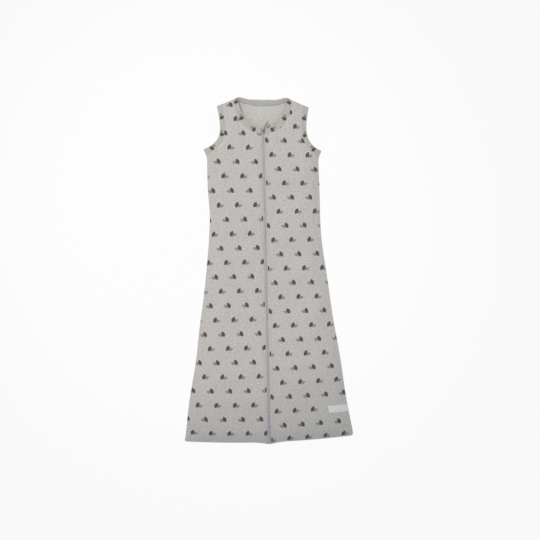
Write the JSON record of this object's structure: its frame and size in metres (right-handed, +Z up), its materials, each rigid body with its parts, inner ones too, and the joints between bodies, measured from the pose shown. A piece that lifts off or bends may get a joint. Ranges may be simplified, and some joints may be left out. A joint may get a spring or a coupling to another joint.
{
  "type": "baby sleeping bag",
  "caption": "Sleeveless A-line baby sleeping bag lying on its back, with a zip from neckline to hem, bound neck and armholes and fronts that fold open.",
  "frame": {"origin": "on the floor under the middle of the bag's length and width, at the outer face of the back", "axes": "+X across the bag to the right as seen from above, +Y from hem to neck, +Z up from the back to the front"},
  "size_m": [0.4344, 0.9, 0.027],
  "materials": {
    "shell": "heather cotton jersey with a small two-tone print",
    "lining": "plain brushed cotton jersey",
    "binding": "folded rib jersey",
    "seam": "overlocked seam allowance",
    "label": "blank woven satin label",
    "zip_tape": "woven polyester herringbone tape",
    "zip_coil": "polyester monofilament coil",
    "zip_metal": "die-cast zinc, lacquered grey"
  },
  "bodies": {
    "bag": {"back_panel": "shell", "back_lining": "lining", "left_front_panel": "shell", "right_front_panel": "shell", "left_front_lining": "lining", "right_front_lining": "lining", "back_neck_binding": "binding", "left_neck_binding": "binding", "right_neck_binding": "binding", "left_armhole_binding": "binding", "right_armhole_binding": "binding", "left_side_seam": "seam", "right_side_seam": "seam", "hem_seam": "seam", "left_shoulder_seam": "seam", "right_shoulder_seam": "seam", "side_label": "label", "zip_end_tapes": "zip_tape", "zip_end_chain": "zip_coil", "zip_bottom_stop": "zip_metal"},
    "left_lapel": {"left_lapel_shell": "shell", "left_lapel_lining": "lining", "left_lapel_binding": "binding", "left_zip_tape": "zip_tape", "left_zip_chain": "zip_coil", "left_top_stop": "zip_metal"},
    "right_lapel": {"right_lapel_shell": "shell", "right_lapel_lining": "lining", "right_lapel_binding": "binding", "right_zip_tape": "zip_tape", "right_zip_chain": "zip_coil", "right_top_stop": "zip_metal"},
    "slider": {"zip_slider": "zip_metal", "slider_bail": "zip_metal"},
    "pull_tab": {"pull_tab": "zip_metal"}
  },
  "joints": [
    {"name": "zip_slide", "type": "slide", "parent": "bag", "child": "slider", "axis": [0, -1, 0], "range_m": [0, 0.758]},
    {"name": "left_lapel_fold", "type": "hinge", "parent": "bag", "child": "left_lapel", "pos_m": [-0.0036, -0.406, 0.02], "axis": [0.0634, -0.998, 0], "range_deg": [0, 170]},
    {"name": "right_lapel_fold", "type": "hinge", "parent": "bag", "child": "right_lapel", "pos_m": [0.0036, -0.406, 0.02], "axis": [0.0634, 0.998, 0], "range_deg": [0, 170]},
    {"name": "pull_tab_flip", "type": "hinge", "parent": "slider", "child": "pull_tab", "pos_m": [0, 0.35875, 0.022], "axis": [1, 0, 0], "range_deg": [0, 150]}
  ],
  "couplings": [
    {"joint": "left_lapel_fold", "follows": "zip_slide", "rad_per_m": 3.9143},
    {"joint": "right_lapel_fold", "follows": "zip_slide", "rad_per_m": 3.9143}
  ]
}
